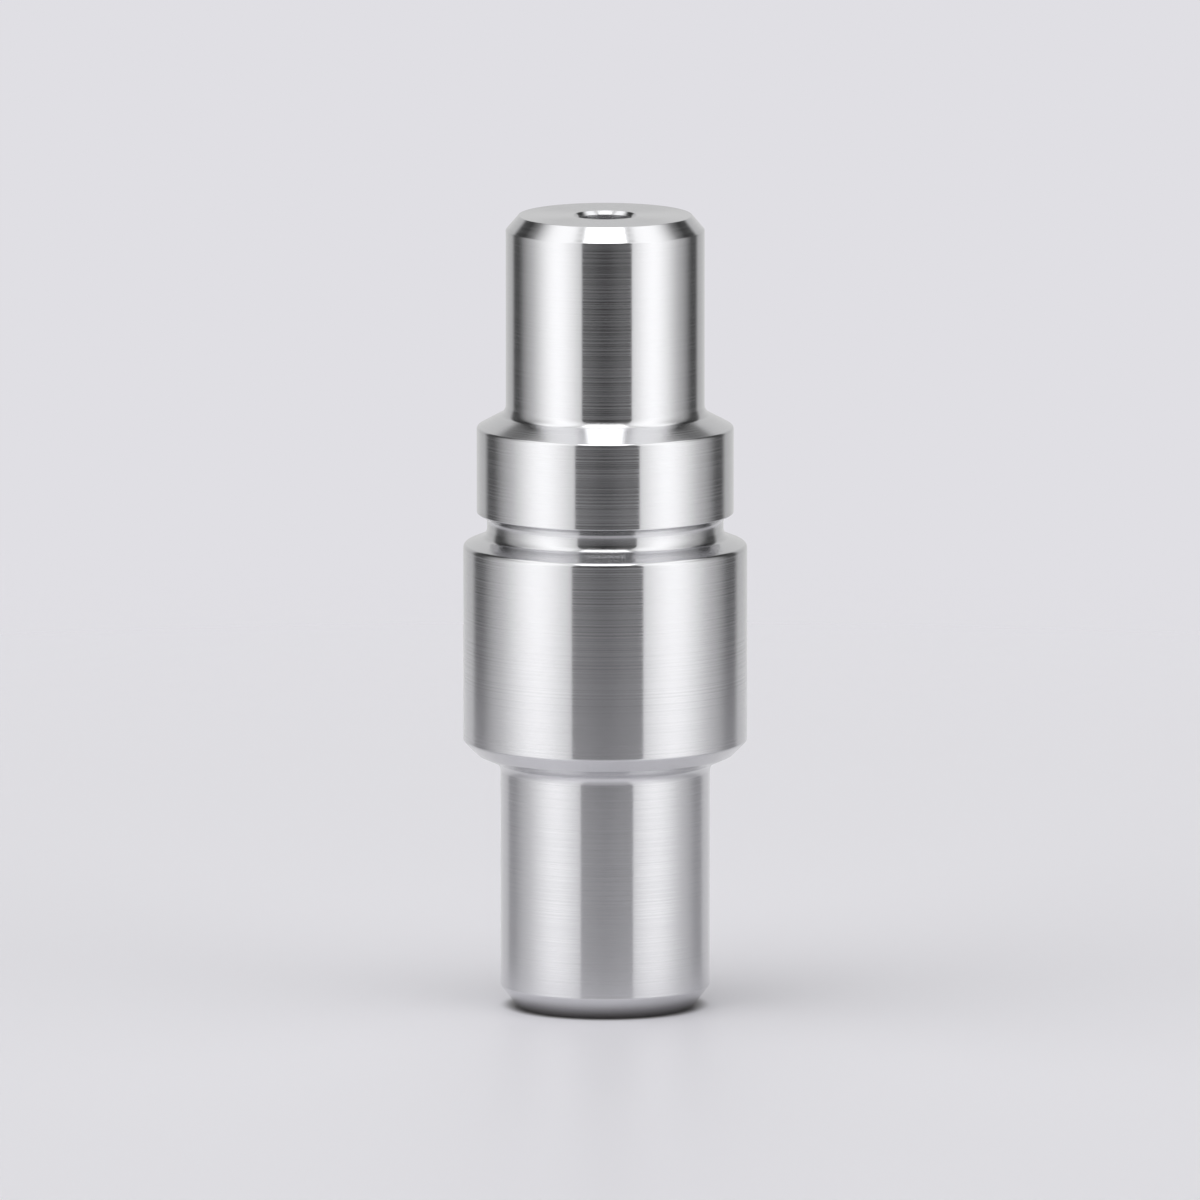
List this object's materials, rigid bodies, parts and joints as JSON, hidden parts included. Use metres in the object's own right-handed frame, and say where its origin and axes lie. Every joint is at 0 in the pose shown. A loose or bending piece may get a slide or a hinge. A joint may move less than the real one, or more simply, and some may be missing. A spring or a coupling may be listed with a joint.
{
  "type": "stepped shaft",
  "caption": "Turned steel shaft with a journal at each end, a wider body, a collar above a groove, chamfered ends and a drilled hole in the upper end.",
  "frame": {"origin": "centre of the lower end face, on the axis", "axes": "+Z along the axis, from the lower journal towards the upper journal with the drilled hole; X and Y are equivalent because the shaft is round"},
  "size_m": [0.04, 0.04, 0.1125],
  "materials": {
    "turned_stainless_steel": "fine turned, bright"
  },
  "bodies": {
    "root": {"stepped_shaft": "turned_stainless_steel"}
  },
  "joints": []
}
